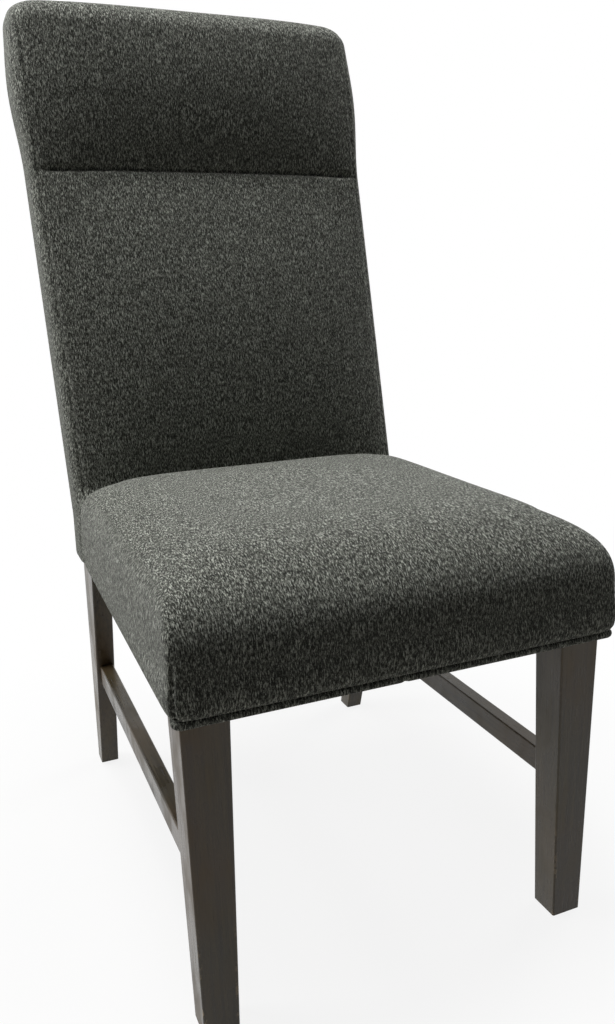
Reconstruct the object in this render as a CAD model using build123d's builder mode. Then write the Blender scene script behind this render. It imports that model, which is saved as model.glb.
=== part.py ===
from build123d import *
import math
import os

# Upholstered dining chair: dark stained legs, a crowned seat with a welt, and a tall raked back
# with a head pillow. Millimetres, +Z up, the chair faces -Y, left and right as its viewer sees them.
# The origin is on the floor below the middle of the whole chair.

# Stance
front_y = -327.0            # front face of the front legs
leg_span = 446.0            # across the outer faces of the front legs
rear_taper = 7.0            # the rear legs' outer faces stand closer by this much
seat_frame_depth = 463.0    # front face of the front legs to the knee of the rear posts
rear_foot_reach = 575.0     # front face of the front legs to the front edge of the rear feet
rake = 13.9                 # lean of the back, degrees
post_height = 1005.0        # top of the rear posts above the floor

# Legs and glides
front_leg_top = 46.0
front_leg_foot = 36.0
rear_leg_width = 25.0
rear_foot_depth = 29.0
knee_depth = 66.0           # depth of the rear leg at the lower edge of the seat rails
post_depth = 36.0
knee_radius = 120.0
leg_easing = 2.0
glide_radius = 10.0
glide_height = 3.0
glide_bevel = 1.0
glide_sides = 16
glide_nail_radius = 1.2
glide_nail_length = 12.0

# Seat rails, blocks and stretchers
rail_bottom = 345.0
rail_height = 60.0
rail_thickness = 22.0
rear_rail_setback = 31.0    # knee of the posts to the front face of the rear rail
block_height = 50.0
front_block_thickness = 30.0
rear_block_leg = 60.0
leg_corner_flat = 7.0       # chamfer on the inner corner of a front leg, where its bolt enters
stretcher_z = 172.5
stretcher_height = 29.0
stretcher_thickness = 18.0
tenon_height = 20.0
tenon_thickness = 8.0
tenon_length = 15.0

# Back rails and panel
back_rail_thickness = 20.0
crest_drop = 30.0           # middle of the crest rail below the posts' top
crest_rail_height = 50.0
middle_rail_height = 45.0
lower_rail_rise = 75.0      # middle of the lower rail above the seat rails
lower_rail_height = 45.0
panel_thickness = 4.0
panel_rise = 40.0           # lower edge of the panel above the seat rails

# Fasteners, drawn with few sides
peg_sides = 8
washer_sides = 16
dowel_radius = 4.0
dowel_length = 40.0
dowel_spacing = 26.0
bolt_radius = 4.0
bolt_in_leg = 28.0
bolt_tail = 11.0
washer_radius = 9.0
washer_thickness = 1.6
nut_across_flats = 13.0
nut_height = 6.5
screw_radius = 2.0
screw_in_rail = 16.0
screw_seat = 12.0           # block left between a screw's head and its rail
screw_head_radius = 4.0
screw_head_height = 3.0
rear_screw_step = 37.0      # screws of a rear block from its corner

# Seat upholstery
seat_overhang = 20.0        # cover in front of the front legs' face
front_side_overhang = 13.0  # cover outside the front legs
rear_side_overhang = 9.5    # cover outside the rear legs
hem_rise = 7.0              # lower edge of the cover above the rails' lower edge
tuck_height = 10.0          # the sides draw in over this height
seat_tuck = 4.0             # and by this much
seat_wall = 40.0            # the crown starts this far above the rails' lower edge
seat_crown = 77.0           # top of the crown above the rails
seat_front_radius = 28.0
seat_rear_radius = 14.0
side_fullness = 5.0         # powers of the rounding from the sides, front and rear up to the crown
front_fullness = 3.2
rear_fullness = 6.0
crown_steps = 7
tuck_steps = 2
corner_sides = 6
fabric = 1.5
wadding = 6.0
hem_width = 7.0
webbing_thickness = 1.5
webbing_width = 50.0
lengthwise_straps = 4
lengthwise_pitch = 84.0
crosswise_straps = 3
crosswise_pitch = 105.0
webbing_inset = 3.0
welt_radius = 4.3
welt_inset = 8.4            # welt's centre line inside the widest outline
welt_turn = 12.0            # radius of the welt's bends round the front corners
welt_sides = 10
dust_cloth = 1.0
dust_inset = 16.0           # dust cover inside the rails' outer faces

# Back upholstery
side_padding = 8.5          # cover outside the posts
back_skirt = 5.0            # lower edge of the side panels above the rails' lower edge
back_rise = 35.0            # lower edge of the inside back above the seat rails
top_padding = 33.0          # cover above the posts
pillow_height = 200.0
back_padding = 20.0         # cover in front of the posts, along the sides
back_edge_radius = 14.0
back_crown = 10.0
crease_depth = 7.0
pillow_belly = 22.0
pillow_edge_belly = 3.0
belly_rise = 62.0           # fullest level of the pillow above its crease
shoulder_drop = 36.0        # start of the roll below the top
top_corner_radius = 25.0
top_front_radius = 24.0
top_rear_radius = 16.0
outer_board = 3.0
outer_wadding = 5.0

# Clearances
gap = 0.3                   # soft layers
hole_play = 0.1             # round a dowel, bolt or nail
tenon_play = 0.2
leg_slit = 1.0              # cover and dust cloth round a leg

# Worked out from the above
leg_outer = leg_span / 2
leg_inner = leg_outer - front_leg_top
rear_outer = (leg_span - rear_taper) / 2
rear_inner = rear_outer - rear_leg_width
rail_top = rail_bottom + rail_height
rail_mid = rail_bottom + rail_height / 2
side_rail_x = rear_inner + rail_thickness / 2
knee_y = front_y + seat_frame_depth
foot_y = front_y + rear_foot_reach
leg_back_y = front_y + front_leg_top
rear_rail_y = knee_y + rear_rail_setback
deck_z = rail_top + 2 * webbing_thickness
crest_rail_z = post_height - crest_drop
lower_rail_z = rail_top + lower_rail_rise
panel_bottom = rail_top + panel_rise
seat_front_half = leg_outer + front_side_overhang
seat_rear_half = rear_outer + rear_side_overhang
seat_hem_z = rail_bottom + hem_rise
seat_wall_z = rail_bottom + seat_wall
seat_crown_z = rail_top + seat_crown
back_half = rear_outer + side_padding
back_low = rail_bottom + back_skirt
back_bottom = rail_top + back_rise
back_top = post_height + top_padding
crease_z = back_top - pillow_height
belly_z = crease_z + belly_rise
pillow_shoulder_z = back_top - shoulder_drop
lean = math.tan(math.radians(rake))
knee_rise = rail_bottom - glide_height
back_leg_slope = (knee_y + knee_depth - foot_y - rear_foot_depth) / knee_rise
back_knee_z = rail_bottom + (knee_depth - post_depth) / (lean - back_leg_slope)
seat_front_y = front_y - seat_overhang
outer_back_depth = outer_board + outer_wadding + fabric


def post_front(z):
    """Front face of a rear post above its knee."""
    return knee_y + (z - rail_bottom) * lean


def post_back(z):
    """Back face of a rear post above its knee."""
    return post_front(z) + post_depth


def leg_back_line(z):
    """Back face of a rear leg below its knee."""
    return foot_y + rear_foot_depth + (z - glide_height) * back_leg_slope


def rear_leg_front(z):
    """Front face of a rear leg below its knee."""
    return foot_y + (z - glide_height) * (knee_y - foot_y) / knee_rise


def front_leg_back(z):
    """Back face of a front leg, which tapers to its foot."""
    share = (z - glide_height) / knee_rise
    return front_y + front_leg_foot + share * (front_leg_top - front_leg_foot)


def back_face(z):
    """Front of the inside back along its sides, before any crown."""
    return post_front(z) - back_padding


seat_rear_y = back_face(back_bottom) - gap


def pair(x, y, z, along):
    """A plane on the right of the chair, square to a direction, and its mirror image on the left."""
    other_way = (-along[0], along[1], along[2])
    return [Plane(origin=(x, y, z), z_dir=along), Plane(origin=(-x, y, z), z_dir=other_way)]


def pegs(planes, radius, start, length, mode=Mode.ADD):
    """Round pegs, or holes for them, out of these planes."""
    with BuildSketch(*[plane.offset(start) for plane in planes]) as rounds:
        RegularPolygon(radius, peg_sides)
    extrude(rounds.sketch, amount=length, mode=mode)


INWARDS = (-1, 0, 0)
FORWARDS = (0, -1, 0)
BACKWARDS = (0, 1, 0)

# Where the dowels sit: each is centred on the face where its rail meets a leg or post.
dowel_levels = [rail_mid - dowel_spacing / 2, rail_mid + dowel_spacing / 2]
seat_dowels = []
for level in dowel_levels:
    seat_dowels += pair(leg_inner, front_y + rail_thickness / 2, level, INWARDS)
    seat_dowels += pair(side_rail_x, leg_back_y, level, FORWARDS)
    seat_dowels += pair(side_rail_x, post_front(level), level, FORWARDS)
    seat_dowels += pair(rear_inner, rear_rail_y + rail_thickness / 2, level, INWARDS)

back_rail_offset = back_rail_thickness / 2 / math.cos(math.radians(rake))
back_rails = {
    "back_crest_rail": (crest_rail_z, crest_rail_height),
    "back_middle_rail": (crease_z, middle_rail_height),
    "back_lower_rail": (lower_rail_z, lower_rail_height),
}
back_dowels = []
for rail_z, tall in back_rails.values():
    for step in (-tall / 4, tall / 4):
        level = rail_z + step
        back_dowels += pair(rear_inner, post_front(level) + back_rail_offset, level, INWARDS)


def drill(planes):
    """Dowel holes, a little wider and deeper than the dowels."""
    depth = dowel_length + 2 * gap
    pegs(planes, dowel_radius + hole_play, -depth / 2, depth, Mode.SUBTRACT)


os.makedirs("parts", exist_ok=True)


def save(builder, name):
    """Label a finished piece and write it under its own name."""
    builder.part.label = name
    export_step(builder.part, f"parts/{name}.step")


def save_pair(builder, name):
    """Write a right-hand piece and its mirror image on the left."""
    save(builder, f"{name}_right")
    with BuildPart() as left:
        mirror(builder.part, about=Plane.YZ)
    save(left, f"{name}_left")


# Side stretchers: level bars on the side rails' centre line, tenoned into the legs
stretcher_low = stretcher_z - stretcher_height / 2
stretcher_high = stretcher_z + stretcher_height / 2
tenon_start = front_leg_back(stretcher_z) - tenon_length
tenon_end = rear_leg_front(stretcher_z) + tenon_length
tenon_spot = (side_rail_x, (tenon_start + tenon_end) / 2, stretcher_z)

with BuildPart() as side_stretcher:
    with BuildSketch(Plane.YZ.offset(side_rail_x)):
        with BuildLine():
            Polyline(
                (front_leg_back(stretcher_low), stretcher_low),
                (rear_leg_front(stretcher_low), stretcher_low),
                (rear_leg_front(stretcher_high), stretcher_high),
                (front_leg_back(stretcher_high), stretcher_high),
                close=True,
            )
        make_face()
    extrude(amount=stretcher_thickness / 2, both=True)
    long_edges = side_stretcher.edges().filter_by(Axis.Y)
    fillet(long_edges, leg_easing)
    with Locations(tenon_spot):
        Box(tenon_thickness, tenon_end - tenon_start, tenon_height)
save_pair(side_stretcher, "side_stretcher")


def mortise():
    """The slots that the stretcher's tenons enter."""
    with Locations(tenon_spot):
        Box(
            tenon_thickness + 2 * tenon_play,
            tenon_end - tenon_start + 2 * tenon_play,
            tenon_height + 2 * tenon_play,
            mode=Mode.SUBTRACT,
        )


# Front legs: square under the seat, tapered to the foot on the two inner faces only
block_low = rail_mid - block_height / 2
flat_sum = -leg_inner + leg_back_y - leg_corner_flat
bolt_planes = pair(
    leg_inner + leg_corner_flat / 2, leg_back_y - leg_corner_flat / 2, rail_mid, (-1, 1, 0)
)
front_foot = (leg_outer - front_leg_foot / 2, front_y + front_leg_foot / 2)
rear_foot = (rear_outer - rear_leg_width / 2, foot_y + rear_foot_depth / 2)


def nail_hole(foot):
    """The hole of a glide's nail in a foot."""
    floor = Plane(origin=(*foot, 0))
    depth = glide_height + glide_nail_length + gap
    pegs([floor], glide_nail_radius + hole_play, 0, depth, Mode.SUBTRACT)


with BuildPart() as front_leg:
    with BuildSketch(Plane.XY.offset(glide_height)):
        with Locations(front_foot):
            RectangleRounded(front_leg_foot, front_leg_foot, leg_easing)
    with BuildSketch(Plane.XY.offset(rail_bottom)) as leg_section:
        with Locations((leg_outer - front_leg_top / 2, front_y + front_leg_top / 2)):
            RectangleRounded(front_leg_top, front_leg_top, leg_easing)
    loft(ruled=True)
    extrude(leg_section.sketch, amount=rail_height)
    with BuildSketch(Plane.XY.offset(rail_bottom)):
        with BuildLine():
            Polyline(
                (leg_inner + leg_corner_flat, leg_back_y),
                (leg_inner, leg_back_y),
                (leg_inner, leg_back_y - leg_corner_flat),
                close=True,
            )
        make_face()
    extrude(amount=rail_height, mode=Mode.SUBTRACT)
    drill(seat_dowels)
    mortise()
    nail_hole(front_foot)
    bolt_hole = bolt_in_leg + gap
    pegs(bolt_planes, bolt_radius + hole_play, -bolt_hole, bolt_hole, Mode.SUBTRACT)
save_pair(front_leg, "front_leg")

# Rear legs: leg and back post sawn from one board, bent at the seat
with BuildPart() as rear_leg:
    with BuildSketch(Plane.YZ.offset(rear_inner)):
        with BuildLine():
            FilletPolyline(
                (leg_back_line(glide_height), glide_height),
                (leg_back_line(back_knee_z), back_knee_z),
                (post_back(post_height), post_height),
                radius=knee_radius,
            )
            Polyline(
                (post_back(post_height), post_height),
                (post_front(post_height), post_height),
                (knee_y, rail_bottom),
                (foot_y, glide_height),
                (leg_back_line(glide_height), glide_height),
            )
        make_face()
    extrude(amount=rear_leg_width)
    side_edges = rear_leg.edges().filter_by(lambda edge: abs(edge.tangent_at(0).X) < 0.1)
    fillet(side_edges.group_by(Axis.Z)[1:-1], leg_easing)
    drill(seat_dowels + back_dowels)
    mortise()
    nail_hole(rear_foot)
save_pair(rear_leg, "rear_leg")

# Glides: plastic buttons nailed under the feet
with BuildPart() as foot_glides:
    with BuildSketch():
        with Locations(front_foot, rear_foot):
            RegularPolygon(glide_radius, glide_sides)
    extrude(amount=glide_height)
    chamfer(foot_glides.edges().group_by(Axis.Z)[0], glide_bevel)
    nails = [Plane(origin=(*foot, glide_height)) for foot in (front_foot, rear_foot)]
    pegs(nails, glide_nail_radius, 0, glide_nail_length)
    mirror(about=Plane.YZ)
save(foot_glides, "foot_glides")

# Corner blocks: trapezoids behind the front legs, triangles in front of the rear rail. Each is held
# by a screw square to each of its two rails, its head in a counterbore.
front_face_y = front_y + rail_thickness
block_sum = flat_sum + front_block_thickness * math.sqrt(2)
middle_sum = (flat_sum + block_sum) / 2
block_screws = (
    pair(front_face_y - middle_sum, front_face_y, rail_mid, BACKWARDS)
    + pair(rear_inner, rear_inner + middle_sum, rail_mid, INWARDS)
    + pair(rear_inner - rear_screw_step, rear_rail_y, rail_mid, FORWARDS)
    + pair(rear_inner, rear_rail_y - rear_screw_step, rail_mid, INWARDS)
)


def screw_holes():
    """Pilot holes through block and rail, with the counterbores for the heads."""
    depth = screw_in_rail + screw_seat + gap
    pegs(block_screws, screw_radius + hole_play, -screw_in_rail - gap, depth + gap, Mode.SUBTRACT)
    pegs(block_screws, screw_head_radius + gap, screw_seat, rear_block_leg, Mode.SUBTRACT)


with BuildPart() as corner_block_front:
    with BuildSketch(Plane.XY.offset(block_low)):
        with BuildLine():
            Polyline(
                (front_face_y - flat_sum, front_face_y),
                (rear_inner, flat_sum + rear_inner),
                (rear_inner, block_sum + rear_inner),
                (front_face_y - block_sum, front_face_y),
                close=True,
            )
        make_face()
    extrude(amount=block_height)
    pegs(bolt_planes, bolt_radius + hole_play, 0, 2 * front_block_thickness, Mode.SUBTRACT)
    screw_holes()
save_pair(corner_block_front, "corner_block_front")

with BuildPart() as corner_block_rear:
    with BuildSketch(Plane.XY.offset(block_low)):
        with BuildLine():
            Polyline(
                (rear_inner, rear_rail_y),
                (rear_inner - rear_block_leg, rear_rail_y),
                (rear_inner, rear_rail_y - rear_block_leg),
                close=True,
            )
        make_face()
    extrude(amount=block_height)
    screw_holes()
save_pair(corner_block_rear, "corner_block_rear")

with BuildPart() as corner_block_screws:
    shank = screw_in_rail + screw_seat + screw_head_height
    pegs(block_screws, screw_radius, -screw_in_rail, shank)
    pegs(block_screws, screw_head_radius, screw_seat, screw_head_height)
save(corner_block_screws, "corner_block_screws")


# Seat rails: front and rear between the legs, sides from leg to post
def pilot_holes():
    """The screws' holes in the rails."""
    depth = screw_in_rail + gap
    pegs(block_screws, screw_radius + hole_play, -depth, depth, Mode.SUBTRACT)


with BuildPart() as seat_front_rail:
    with Locations((0, front_y + rail_thickness / 2, rail_mid)):
        Box(2 * leg_inner, rail_thickness, rail_height)
    drill(seat_dowels)
    pilot_holes()
save(seat_front_rail, "seat_front_rail")

with BuildPart() as seat_rear_rail:
    with Locations((0, rear_rail_y + rail_thickness / 2, rail_mid)):
        Box(2 * rear_inner, rail_thickness, rail_height)
    drill(seat_dowels)
    pilot_holes()
save(seat_rear_rail, "seat_rear_rail")

side_rail_top = rail_top + webbing_thickness
with BuildPart() as seat_side_rail:
    with BuildSketch(Plane.YZ.offset(rear_inner)):
        with BuildLine():
            Polyline(
                (leg_back_y, rail_bottom),
                (knee_y, rail_bottom),
                (post_front(side_rail_top), side_rail_top),
                (leg_back_y, side_rail_top),
                close=True,
            )
        make_face()
    extrude(amount=rail_thickness)
    drill(seat_dowels)
    pilot_holes()
save_pair(seat_side_rail, "seat_side_rail")

with BuildPart() as seat_rail_dowels:
    pegs(seat_dowels, dowel_radius, -dowel_length / 2, dowel_length)
save(seat_rail_dowels, "seat_rail_dowels")

# Leg bolts: a stud out of each front leg, through its block, with a washer and a nut
with BuildPart() as leg_bolts:
    bolt_length = bolt_in_leg + front_block_thickness + bolt_tail
    pegs(bolt_planes, bolt_radius, -bolt_in_leg, bolt_length)
save(leg_bolts, "leg_bolts")

with BuildPart() as leg_bolt_washers:
    with BuildSketch(*[plane.offset(front_block_thickness) for plane in bolt_planes]):
        RegularPolygon(washer_radius, washer_sides)
        RegularPolygon(bolt_radius + hole_play, peg_sides, mode=Mode.SUBTRACT)
    extrude(amount=washer_thickness)
save(leg_bolt_washers, "leg_bolt_washers")

with BuildPart() as leg_bolt_nuts:
    nut_seat = front_block_thickness + washer_thickness
    with BuildSketch(*[plane.offset(nut_seat) for plane in bolt_planes]):
        RegularPolygon(nut_across_flats / 2, 6, major_radius=False)
        RegularPolygon(bolt_radius + hole_play, peg_sides, mode=Mode.SUBTRACT)
    extrude(amount=nut_height)
save(leg_bolt_nuts, "leg_bolt_nuts")

# Back rails: flush with the posts' front, leaning with them
for rail_name, (rail_z, tall) in back_rails.items():
    with BuildPart() as back_rail:
        with BuildSketch(Plane.YZ):
            with Locations((post_front(rail_z) + back_rail_offset, rail_z)):
                Rectangle(back_rail_thickness, tall, rotation=-rake)
        extrude(amount=rear_inner, both=True)
        drill(back_dowels)
    save(back_rail, rail_name)

with BuildPart() as back_rail_dowels:
    pegs(back_dowels, dowel_radius, -dowel_length / 2, dowel_length)
save(back_rail_dowels, "back_rail_dowels")

# Back panel: plywood on the front of the posts and rails, which carries the foam
with BuildPart() as back_panel:
    with BuildSketch(Plane.YZ):
        with BuildLine():
            Polyline(
                (post_front(panel_bottom) - panel_thickness, panel_bottom),
                (post_front(panel_bottom), panel_bottom),
                (post_front(post_height), post_height),
                (post_front(post_height) - panel_thickness, post_height),
                close=True,
            )
        make_face()
    extrude(amount=rear_outer, both=True)
save(back_panel, "back_panel")

# Seat webbing: lengthwise straps on the front and rear rails, crosswise straps over them
strap_front = front_y + webbing_inset
strap_back = rear_rail_y + rail_thickness - webbing_inset
with BuildPart() as seat_webbing_lengthwise:
    with Locations((0, (strap_front + strap_back) / 2, rail_top)):
        with GridLocations(lengthwise_pitch, 0, lengthwise_straps, 1):
            Box(
                webbing_width,
                strap_back - strap_front,
                webbing_thickness,
                align=(Align.CENTER, Align.CENTER, Align.MIN),
            )
save(seat_webbing_lengthwise, "seat_webbing_lengthwise")

strap_reach = rear_inner + rail_thickness - webbing_inset
with BuildPart() as seat_webbing_crosswise:
    with Locations((0, (leg_back_y + knee_y) / 2, side_rail_top)):
        with GridLocations(0, crosswise_pitch, 1, crosswise_straps):
            Box(
                2 * strap_reach,
                webbing_width,
                webbing_thickness,
                align=(Align.CENTER, Align.CENTER, Align.MIN),
            )
save(seat_webbing_crosswise, "seat_webbing_crosswise")


# Seat form: rounded outlines stacked from the hem, up the walls and in to the crown
side_taper = (seat_front_half - seat_rear_half) / (seat_rear_y - seat_front_y)


def seat_outline(z, side_in, front_in, rear_in, rounder):
    """One level of the seat: a tapered outline drawn in from its sides, front and rear."""
    ends = (
        (seat_front_y + front_in, seat_front_radius + rounder, -90),
        (seat_rear_y - rear_in, seat_rear_radius + rounder, 0),
    )
    right = []
    for end_y, radius, first in ends:
        centre_y = end_y + radius if first else end_y - radius
        centre_x = seat_front_half - side_taper * (centre_y - seat_front_y) - side_in - radius
        for step in range(corner_sides + 1):
            turn = math.radians(first + 90 * step / corner_sides)
            right.append((centre_x + radius * math.cos(turn), centre_y + radius * math.sin(turn)))
    left = [(-x, y) for x, y in reversed(right)]
    with BuildSketch(Plane.XY.offset(z)) as level_sketch:
        with BuildLine():
            Polyline(*right, *left, close=True)
        make_face()
    return level_sketch.sketch


def seat_form(skin):
    """The seat inside the layers outside it: a loft through its outlines, with flat facets."""
    half_depth = (seat_rear_y - seat_front_y) / 2
    low = seat_hem_z + skin
    outlines = []
    for step in range(tuck_steps, 0, -1):
        share = step / tuck_steps
        tuck = seat_tuck * share**2
        level = seat_hem_z + tuck_height - share * (seat_hem_z + tuck_height - low)
        drawn_in = tuck + skin
        outlines.append(seat_outline(level, drawn_in, drawn_in, drawn_in, -tuck))
    outlines.append(seat_outline(seat_hem_z + tuck_height, skin, skin, skin, 0))
    rise = seat_crown_z - skin - seat_wall_z

    def drawn(reach, height, fullness):
        return skin + reach * (1 - (1 - height**fullness) ** (1 / fullness))

    for step in range(crown_steps):
        height = math.sin(math.pi / 2 * step / crown_steps)
        side_in = drawn(seat_rear_half, height, side_fullness)
        front_in = drawn(half_depth, height, front_fullness)
        rear_in = drawn(half_depth, height, rear_fullness)
        level = seat_wall_z + rise * height
        outlines.append(seat_outline(level, side_in, front_in, rear_in, side_in - skin))
    form = loft(sections=outlines, ruled=True, mode=Mode.PRIVATE)
    return Solid(Shell([Face(facet.outer_wire()) for facet in form.faces()]))


def frame_footprint(height):
    """Clears the legs and rails out of a layer of the seat, up to a height."""
    with BuildSketch(Plane.XY.offset(rail_bottom)) as footprint:
        with Locations((0, front_y + front_leg_top / 2)):
            Rectangle(leg_span + 2 * gap, front_leg_top + 2 * gap)
        with Locations((0, front_y - gap)):
            Rectangle(
                2 * (rear_inner + rail_thickness + gap),
                seat_frame_depth + rear_foot_depth,
                align=(Align.CENTER, Align.MIN),
            )
    extrude(footprint.sketch, amount=height - rail_bottom, mode=Mode.SUBTRACT)


def rear_mouth():
    """Opens the seat's back below the deck, where the rails and webbing pass to the posts."""
    with Locations((0, seat_rear_y, rail_bottom)):
        Box(
            2 * (rear_outer + leg_slit),
            2 * (seat_tuck + wadding + 2 * fabric + seat_rear_radius),
            2 * (deck_z + gap - rail_bottom),
            mode=Mode.SUBTRACT,
        )


with BuildPart() as seat_foam:
    add(seat_form(fabric + wadding + 2 * gap))
    split(bisect_by=Plane.XY.offset(deck_z), keep=Keep.TOP)
save(seat_foam, "seat_foam")

with BuildPart() as seat_wadding:
    add(seat_form(fabric + gap))
    add(seat_form(fabric + wadding + gap), mode=Mode.SUBTRACT)
    frame_footprint(deck_z)
    rear_mouth()
save(seat_wadding, "seat_wadding")

hem_in = seat_tuck + hem_width
with BuildPart() as seat_cover:
    add(seat_form(0))
    add(seat_form(fabric), mode=Mode.SUBTRACT)
    mouth = seat_outline(seat_hem_z - fabric, hem_in, hem_in, hem_in, -seat_tuck)
    extrude(mouth, amount=3 * fabric, mode=Mode.SUBTRACT)
    frame_footprint(seat_hem_z + 2 * fabric)
    rear_mouth()
save(seat_cover, "seat_cover")

# Welt: a fabric-covered cord under the seat's front edge, turned in at both corners
welt_side = seat_front_half - welt_inset
welt_front = seat_front_y + welt_inset
welt_back = seat_front_y + seat_front_radius
welt_z = seat_hem_z - welt_radius - gap
with BuildPart() as seat_welt:
    with BuildLine() as welt_line:
        FilletPolyline(
            (-welt_side, welt_back, welt_z),
            (-welt_side, welt_front, welt_z),
            (welt_side, welt_front, welt_z),
            (welt_side, welt_back, welt_z),
            radius=welt_turn,
        )
    start = Plane(origin=welt_line.line @ 0, z_dir=welt_line.line % 0)
    with BuildSketch(start):
        RegularPolygon(welt_radius, welt_sides)
    sweep(path=welt_line.line)
save(seat_welt, "seat_welt")

# Dust cover: thin cloth under the rails, slit round the legs
dust_half = rear_inner + rail_thickness - dust_inset
dust_front = front_y + leg_slit
dust_back = rear_rail_y + rail_thickness
with BuildPart() as dust_cover:
    with BuildSketch(Plane.XY.offset(rail_bottom - dust_cloth)):
        with Locations((0, (dust_front + dust_back) / 2)):
            Rectangle(2 * dust_half, dust_back - dust_front)
        front_slit = front_leg_top + 2 * leg_slit
        rear_slit = rear_leg_width + 2 * leg_slit
        for side in (-1, 1):
            with Locations((side * (leg_outer + leg_inner) / 2, front_y + front_leg_top / 2)):
                Rectangle(front_slit, front_slit, mode=Mode.SUBTRACT)
            with Locations((side * (rear_outer + rear_inner) / 2, knee_y + knee_depth)):
                Rectangle(rear_slit, 2 * (knee_depth + leg_slit), mode=Mode.SUBTRACT)
    extrude(amount=dust_cloth)
save(dust_cover, "dust_cover")

# Back form: slices across the chair, from side to side, between two boxed side panels
cover_half = back_half - fabric - gap
edge_shares = (0.8, 0.45)
slice_shares = (0.75, 0.4)


def slice_stations(half, on_edge, across):
    """Where the slices stand: on the rounded edges, and across the middle."""
    flat_half = back_half - back_edge_radius
    right = [half]
    right += [flat_half + share * (half - flat_half) for share in on_edge]
    right += [flat_half]
    right += [share * flat_half for share in across]
    return [-x for x in right] + [0] + right[::-1]


def edge_fall(x):
    """How far the front falls back over the rounded edge."""
    over = max(0, abs(x) - (back_half - back_edge_radius)) / back_edge_radius
    return back_edge_radius * (1 - math.sqrt(1 - min(over, 1) ** 2))


def top_fall(x):
    """How far the top drops towards its two corners."""
    over = max(0, abs(x) - (back_half - top_corner_radius)) / top_corner_radius
    return top_corner_radius * (1 - math.sqrt(1 - min(over, 1) ** 2))


def fullness_at(x):
    """One in the middle of the back, none at its edges."""
    return 1 - (x / back_half) ** 2


def inside_back_points(x, skin):
    """Bottom, middle and crease of the inside back, in one slice."""
    middle_z = (back_bottom + crease_z) / 2
    set_back = edge_fall(x) + skin
    bulge = back_crown * fullness_at(x) + fabric
    return (
        (back_face(back_bottom) + set_back, back_bottom),
        (back_face(middle_z) + set_back - bulge, middle_z),
        (back_face(crease_z) + set_back, crease_z - gap),
    )


def inside_back_slice(x, skin, back_offset):
    """One slice of the inside back, from its front to a line beside the posts' front."""
    low, middle, high = inside_back_points(x, skin)
    with BuildSketch(Plane.YZ.offset(x)) as slice_sketch:
        with BuildLine():
            ThreePointArc(low, middle, high)
            Polyline(
                high,
                (post_front(high[1]) - back_offset, high[1]),
                (post_front(low[1]) - back_offset, low[1]),
                low,
            )
        make_face()
    return slice_sketch.sketch


def inside_back_skin(x):
    """One slice of the inside back's cover."""
    low, middle, high = inside_back_points(x, 0)
    with BuildSketch(Plane.YZ.offset(x)) as slice_sketch:
        with BuildLine():
            ThreePointArc(low, middle, high)
            Line(high, (high[0] + fabric, high[1]))
            ThreePointArc(
                (high[0] + fabric, high[1]),
                (middle[0] + fabric, middle[1]),
                (low[0] + fabric, low[1]),
            )
            Line((low[0] + fabric, low[1]), low)
        make_face()
    return slice_sketch.sketch


cover_stations = slice_stations(cover_half, edge_shares, slice_shares)
with BuildPart() as back_cover:
    loft(sections=[inside_back_skin(x) for x in cover_stations], ruled=True)
save(back_cover, "back_cover")

foam_half = cover_half - fabric
foam_stations = slice_stations(foam_half, (), slice_shares[1:])
with BuildPart() as back_foam:
    foam_back = panel_thickness + gap
    loft(sections=[inside_back_slice(x, fabric + gap, foam_back) for x in foam_stations], ruled=True)
save(back_foam, "back_foam")


def pillow_points(x, skin):
    """Crease, belly, shoulder and front top edge of the head pillow, in one slice."""
    set_back = edge_fall(x) + skin
    belly = pillow_edge_belly + pillow_belly * fullness_at(x)
    top = back_top - top_fall(x) - skin
    shoulder = pillow_shoulder_z - top_fall(x)
    return (
        (back_face(crease_z) + set_back + crease_depth, crease_z + gap),
        (back_face(belly_z) + set_back - belly, belly_z),
        (back_face(shoulder) + set_back, shoulder),
        (back_face(top) + set_back, top),
    )


def pillow_slice(x, skin):
    """One slice of the head pillow, back to the outer back."""
    crease, belly, shoulder, front_top = pillow_points(x, skin)
    rear_offset = outer_back_depth - skin
    with BuildSketch(Plane.YZ.offset(x)) as slice_sketch:
        with BuildLine():
            ThreePointArc(crease, belly, shoulder)
            Polyline(
                shoulder,
                front_top,
                (post_back(front_top[1]) + rear_offset, front_top[1]),
                (post_back(crease[1]) + rear_offset, crease[1]),
                crease,
            )
        make_face()
        crown = slice_sketch.vertices().group_by(Axis.Y)[-1].sort_by(Axis.X)
        fillet(crown[0], top_front_radius - skin)
        crown = slice_sketch.vertices().group_by(Axis.Y)[-1].sort_by(Axis.X)
        fillet(crown[-1], top_rear_radius - skin)
    return slice_sketch.sketch


def frame_core(top, front_offset):
    """The space of the posts, rails and panel, and of the outer back behind them."""
    low = back_low
    far = post_back(back_top) + back_half
    with BuildSketch(Plane.YZ) as core_sketch:
        with BuildLine():
            Polyline(
                (post_front(low) - front_offset, low),
                (post_front(top) - front_offset, top),
                (far, top),
                (far, low),
                close=True,
            )
        make_face()
    extrude(core_sketch.sketch, amount=back_half, both=True, mode=Mode.SUBTRACT)


outer_back_top = post_height + wadding
with BuildPart() as headrest_foam:
    loft(sections=[pillow_slice(x, fabric + gap) for x in foam_stations], ruled=True)
    frame_core(outer_back_top, panel_thickness + gap)
save(headrest_foam, "headrest_foam")

with BuildPart() as headrest_cover:
    loft(sections=[pillow_slice(x, 0) for x in cover_stations], ruled=True)
    inner = [pillow_slice(x, fabric) for x in cover_stations]
    loft(sections=inner, ruled=True, mode=Mode.SUBTRACT)
    frame_core(outer_back_top + gap, panel_thickness)
save(headrest_cover, "headrest_cover")


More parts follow.
